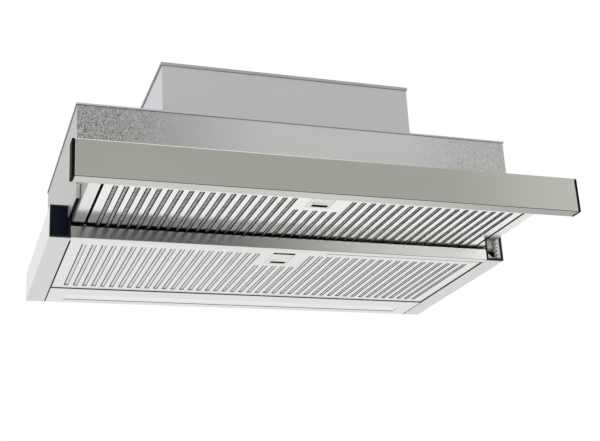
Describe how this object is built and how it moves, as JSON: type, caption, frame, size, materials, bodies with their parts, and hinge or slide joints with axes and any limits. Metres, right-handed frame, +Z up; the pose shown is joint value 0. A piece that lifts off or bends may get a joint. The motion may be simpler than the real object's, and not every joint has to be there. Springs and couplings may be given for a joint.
{
  "type": "pull-out range hood",
  "caption": "Slim cooker hood for a wall cabinet: an underside with slotted grease filters, a front tray that draws out, and a boxed blower with a round outlet above.",
  "frame": {"origin": "on the wall plane: the middle of the rear strip's wall face, halfway up the lower frame", "axes": "+X to the right seen from the room, +Y towards the wall, +Z up"},
  "size_m": [0.598, 0.4706, 0.266],
  "materials": {
    "galvanised": "galvanised sheet with a fine spangle, half dull",
    "stainless": "stainless sheet brushed along its length",
    "filter_steel": "bright stainless sheet, nearly polished",
    "zinc": "zinc plated, smooth",
    "mesh": "layered expanded mesh, dull",
    "black": "black moulded plastic, satin",
    "touch_glass": "dark blue-black, high gloss",
    "grey": "grey moulded plastic",
    "white": "white moulded plastic",
    "lens": "frosted lamp cover",
    "board": "green circuit board",
    "motor_steel": "bare laminated steel"
  },
  "bodies": {
    "hood": {"front_panel": "galvanised", "left_side_panel": "galvanised", "right_side_panel": "galvanised", "back_panel": "galvanised", "top_panel": "galvanised", "motor_box_wrap": "galvanised", "motor_box_back": "galvanised", "motor_box_lid": "galvanised", "outlet_collar": "black", "flap_pin": "zinc", "scroll_housing": "zinc", "motor": "motor_steel", "motor_bracket": "zinc", "capacitor": "white", "terminal_box": "grey", "terminal_cover": "grey", "cable_gland": "black", "left_frame_member": "stainless", "right_frame_member": "stainless", "front_crossbar": "stainless", "rear_strip": "stainless", "lamp_lens": "lens", "lamp_board": "board", "control_housing": "black", "touch_panel": "touch_glass", "control_board": "board", "right_end_frame": "black", "rail_guide": "white", "left_fixed_rail": "zinc", "right_fixed_rail": "zinc", "reed_switch": "white"},
    "tray": {"left_tray_arm": "stainless", "right_tray_arm": "stainless", "tray_front_bar": "stainless", "tray_rear_bar": "stainless", "tray_cover": "galvanised", "fascia": "stainless", "left_fascia_cap": "black", "right_fascia_cap": "black", "tray_magnet": "motor_steel", "left_carriage": "white", "right_carriage": "white"},
    "left_middle": {"left_middle_rail": "zinc"},
    "right_middle": {"right_middle_rail": "zinc"},
    "fixed_filter": {"fixed_filter_grille": "filter_steel", "fixed_filter_mesh": "mesh", "fixed_filter_back": "filter_steel"},
    "fixed_latch": {"fixed_filter_latch": "filter_steel"},
    "tray_filter": {"tray_filter_grille": "filter_steel", "tray_filter_mesh": "mesh", "tray_filter_back": "filter_steel"},
    "tray_latch": {"tray_filter_latch": "filter_steel"},
    "rotor": {"impeller": "grey", "motor_shaft": "zinc"},
    "flap_right": {"right_flap": "grey"},
    "flap_left": {"left_flap": "grey"}
  },
  "joints": [
    {"name": "tray_slide", "type": "slide", "parent": "hood", "child": "tray", "axis": [0, -1, 0], "range_m": [-0.103, 0]},
    {"name": "left_middle_slide", "type": "slide", "parent": "hood", "child": "left_middle", "axis": [0, -1, 0], "range_m": [-0.0515, 0]},
    {"name": "right_middle_slide", "type": "slide", "parent": "hood", "child": "right_middle", "axis": [0, -1, 0], "range_m": [-0.0515, 0]},
    {"name": "fixed_filter_drop", "type": "hinge", "parent": "hood", "child": "fixed_filter", "pos_m": [0, -0.0757, -0.0156], "axis": [1, 0, 0], "range_deg": [0, 80]},
    {"name": "tray_filter_tilt", "type": "hinge", "parent": "tray", "child": "tray_filter", "pos_m": [0, -0.267, 0.0008], "axis": [1, 0, 0], "range_deg": [0, 12]},
    {"name": "fixed_latch_slide", "type": "slide", "parent": "fixed_filter", "child": "fixed_latch", "axis": [0, -1, 0], "range_m": [0, 0.0065]},
    {"name": "tray_latch_slide", "type": "slide", "parent": "tray_filter", "child": "tray_latch", "axis": [0, -1, 0], "range_m": [0, 0.0065]},
    {"name": "impeller_spin", "type": "hinge", "parent": "hood", "child": "rotor", "pos_m": [0, -0.189, 0.114], "axis": [1, 0, 0], "continuous": true},
    {"name": "right_flap_lift", "type": "hinge", "parent": "hood", "child": "flap_right", "pos_m": [0, -0.12987, 0.2242], "axis": [0, -1, 0], "range_deg": [0, 70]},
    {"name": "left_flap_lift", "type": "hinge", "parent": "hood", "child": "flap_left", "pos_m": [0, -0.12987, 0.2242], "axis": [0, 1, 0], "range_deg": [0, 70]}
  ],
  "couplings": [
    {"joint": "left_middle_slide", "follows": "tray_slide", "ratio": 0.5},
    {"joint": "right_middle_slide", "follows": "tray_slide", "ratio": 0.5}
  ]
}
